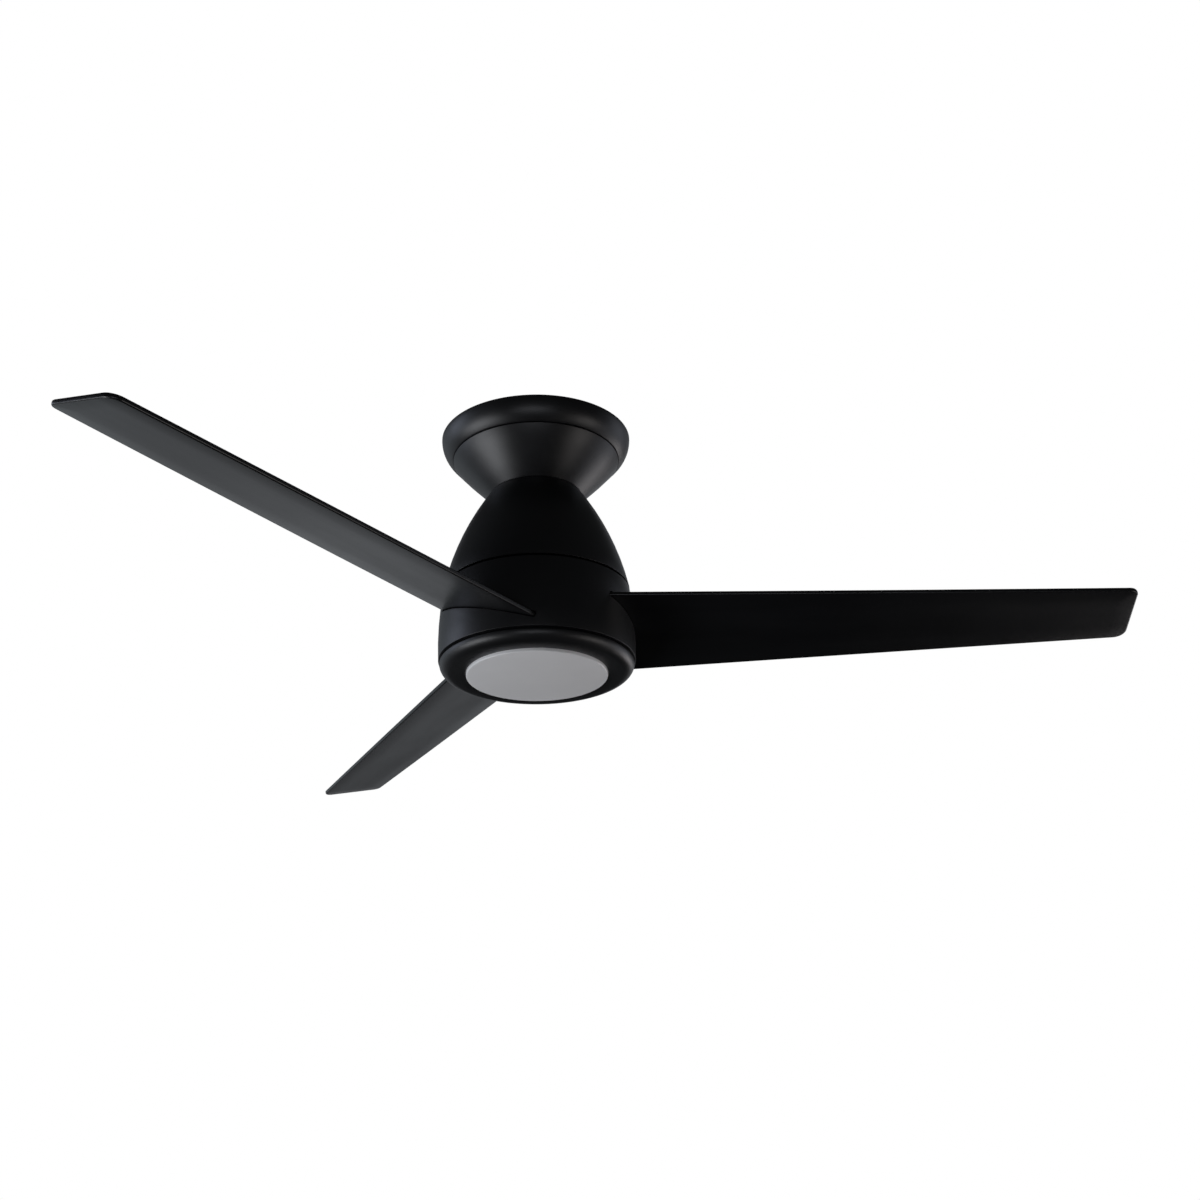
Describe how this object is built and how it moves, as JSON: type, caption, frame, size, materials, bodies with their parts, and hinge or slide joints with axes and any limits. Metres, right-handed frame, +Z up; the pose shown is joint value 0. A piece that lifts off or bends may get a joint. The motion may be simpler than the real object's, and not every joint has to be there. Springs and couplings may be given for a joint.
{
  "type": "ceiling fan with light",
  "caption": "Flush-mount ceiling fan: pitched blades in a turning band, domed motor housing, cone canopy with trim ring, flat round light below.",
  "frame": {"origin": "centre of the ceiling plane that the canopy rim and the bracket bear on", "axes": "+Z straight up along the spin axis, so the fan hangs below the origin; +X along the first blade"},
  "size_m": [1.0241, 1.1771, 0.3],
  "materials": {
    "black_coat": "satin black powder coat with a very fine texture",
    "blade_black": "satin black moulded blade",
    "opal": "frosted opal acrylic, unlit",
    "zinc_plate": "zinc-plated pressed steel",
    "steel": "plain bright steel",
    "black_aluminium": "black powder coat over cast aluminium",
    "black_steel": "steel with a black oxide finish",
    "cast_aluminium": "as-cast aluminium",
    "lamination": "stacked motor steel",
    "copper": "varnished copper wire",
    "ferrite": "matt ferrite magnet",
    "white_plastic": "white moulded plastic",
    "grey_plastic": "grey moulded plastic",
    "board_white": "white solder mask",
    "lead_grey": "grey insulated lead"
  },
  "bodies": {
    "housing": {"ceiling_bracket": "zinc_plate", "hanger_tube": "zinc_plate", "motor_shaft": "steel", "hanger_pin": "steel", "bracket_bolt_1": "steel", "bracket_bolt_2": "steel", "bracket_bolt_3": "steel", "canopy": "black_coat", "trim_ring": "black_coat", "dome_housing": "black_coat", "canopy_screw_1": "steel", "canopy_screw_2": "steel", "dome_screw_1": "steel", "dome_screw_2": "steel", "dome_screw_3": "steel", "stator_hub": "cast_aluminium", "stator_core": "lamination", "stator_windings": "copper", "upper_bearing_inner_race": "steel", "lower_bearing_inner_race": "steel", "light_pan": "black_aluminium", "shaft_nut": "steel", "led_board": "board_white", "light_bezel": "black_coat", "diffuser": "opal", "led_driver": "white_plastic", "bezel_screw_1": "steel", "bezel_screw_2": "steel", "bezel_screw_3": "steel", "terminal_block": "white_plastic", "receiver_box": "grey_plastic", "supply_lead": "lead_grey", "control_lead": "lead_grey"},
    "rotor": {"rotor_shell": "black_aluminium", "rotor_cover": "black_aluminium", "magnet_ring": "ferrite", "upper_bearing_outer_race": "steel", "lower_bearing_outer_race": "steel", "upper_bearing_balls": "steel", "lower_bearing_balls": "steel", "blade_hub": "black_aluminium", "rotor_band": "black_coat", "blade_1": "blade_black", "blade_2": "blade_black", "blade_3": "blade_black", "blade_clamp_1": "zinc_plate", "blade_clamp_2": "zinc_plate", "blade_clamp_3": "zinc_plate", "blade_screw_1a": "steel", "blade_screw_1b": "steel", "blade_screw_2a": "steel", "blade_screw_2b": "steel", "blade_screw_3a": "steel", "blade_screw_3b": "steel", "rotor_screw_1": "black_steel", "rotor_screw_2": "black_steel", "rotor_screw_3": "black_steel", "band_screw_1": "black_steel", "band_screw_2": "black_steel", "band_screw_3": "black_steel"}
  },
  "joints": [
    {"name": "rotor_spin", "type": "hinge", "parent": "housing", "child": "rotor", "pos_m": [0, 0, -0.17], "axis": [0, 0, 1], "continuous": true}
  ]
}
